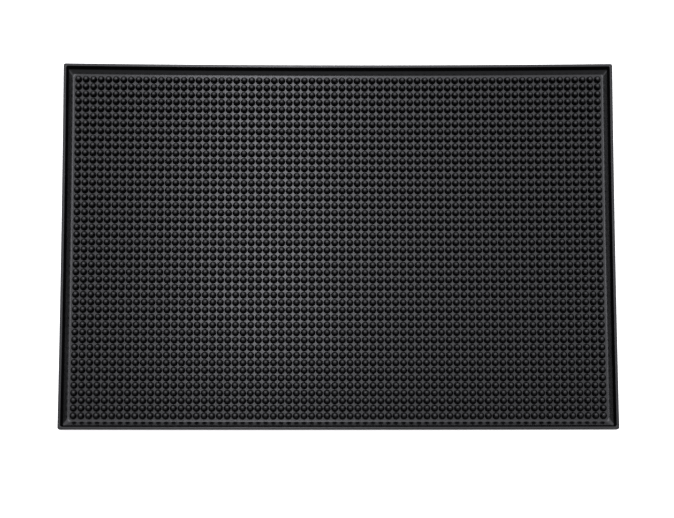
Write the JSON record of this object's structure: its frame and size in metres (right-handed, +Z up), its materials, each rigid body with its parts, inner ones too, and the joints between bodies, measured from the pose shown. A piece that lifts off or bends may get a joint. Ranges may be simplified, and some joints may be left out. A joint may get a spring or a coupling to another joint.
{
  "type": "bar service mat",
  "caption": "Flat rectangular rubber drip mat with a square grid of short round nubs inside a low raised rim.",
  "frame": {"origin": "middle of the underside, on the surface that the mat lies on", "axes": "+X along the length, +Y along the depth towards the back edge, +Z up, away from the counter"},
  "size_m": [0.45, 0.3, 0.01],
  "materials": {
    "rubber": "black moulded rubber, satin, slightly shiny on the nub crowns and the rim"
  },
  "bodies": {
    "root": {"rim_front": "rubber", "rim_back": "rubber", "rim_left": "rubber", "rim_right": "rubber", "nub_row_01": "rubber", "nub_row_02": "rubber", "nub_row_03": "rubber", "nub_row_04": "rubber", "nub_row_05": "rubber", "nub_row_06": "rubber", "nub_row_07": "rubber", "nub_row_08": "rubber", "nub_row_09": "rubber", "nub_row_10": "rubber", "nub_row_11": "rubber", "nub_row_12": "rubber", "nub_row_13": "rubber", "nub_row_14": "rubber", "nub_row_15": "rubber", "nub_row_16": "rubber", "nub_row_17": "rubber", "nub_row_18": "rubber", "nub_row_19": "rubber", "nub_row_20": "rubber", "nub_row_21": "rubber", "nub_row_22": "rubber", "nub_row_23": "rubber", "nub_row_24": "rubber", "nub_row_25": "rubber", "nub_row_26": "rubber", "nub_row_27": "rubber", "nub_row_28": "rubber", "nub_row_29": "rubber", "nub_row_30": "rubber", "nub_row_31": "rubber", "nub_row_32": "rubber", "nub_row_33": "rubber", "nub_row_34": "rubber", "nub_row_35": "rubber", "nub_row_36": "rubber", "nub_row_37": "rubber", "nub_row_38": "rubber", "nub_row_39": "rubber", "nub_row_40": "rubber", "nub_row_41": "rubber", "nub_row_42": "rubber", "nub_row_43": "rubber", "nub_row_44": "rubber", "nub_row_45": "rubber", "nub_row_46": "rubber"}
  },
  "joints": []
}
